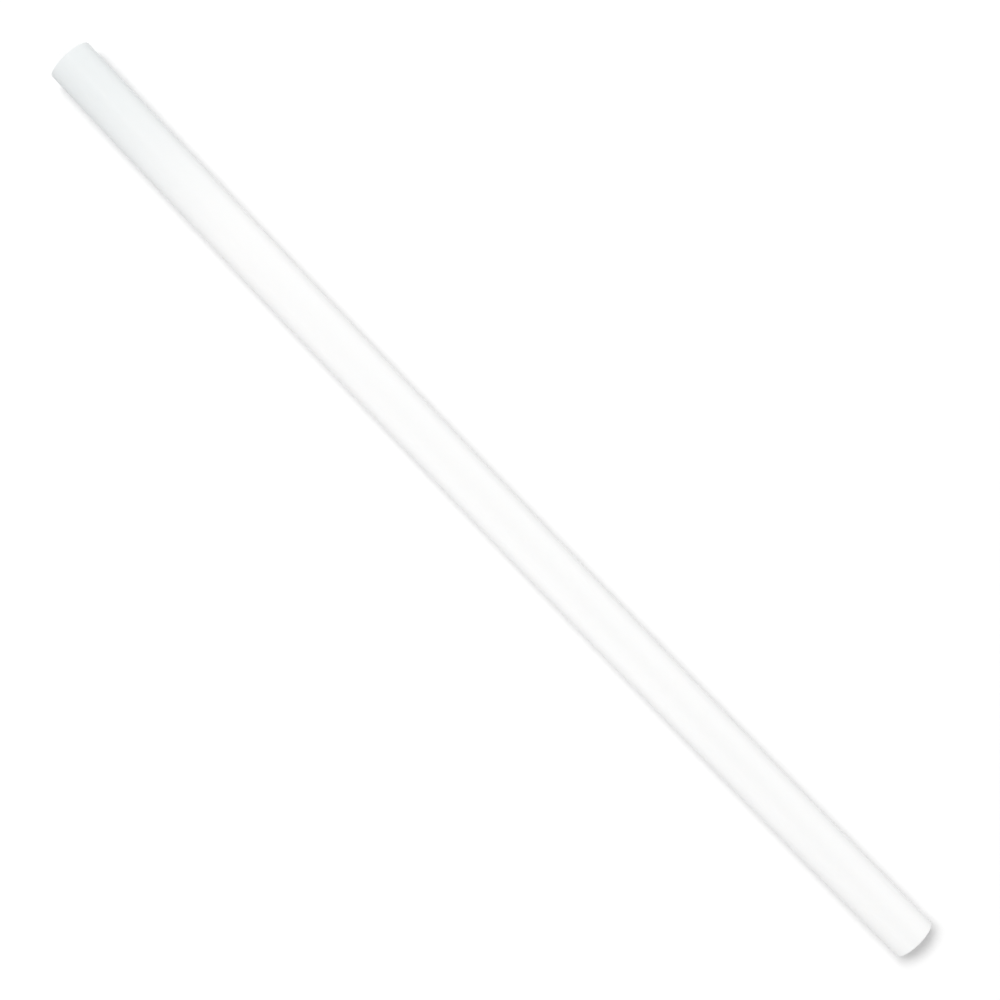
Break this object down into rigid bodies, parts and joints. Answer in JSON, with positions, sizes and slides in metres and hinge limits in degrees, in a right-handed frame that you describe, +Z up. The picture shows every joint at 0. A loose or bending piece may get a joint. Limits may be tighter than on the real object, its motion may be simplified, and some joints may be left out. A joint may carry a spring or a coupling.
{
  "type": "reusable drinking straw",
  "caption": "Straight white drinking straw: a soft round tube with a wide bore, square-cut ends and softly rounded rims.",
  "frame": {"origin": "middle of the straw's length, on the surface that it lies on, straight below its axis", "axes": "+X along the tube from one open end to the other, +Z up"},
  "size_m": [0.25, 0.01, 0.0099],
  "materials": {
    "white_silicone": "satin"
  },
  "bodies": {
    "root": {"straw_tube": "white_silicone"}
  },
  "joints": []
}
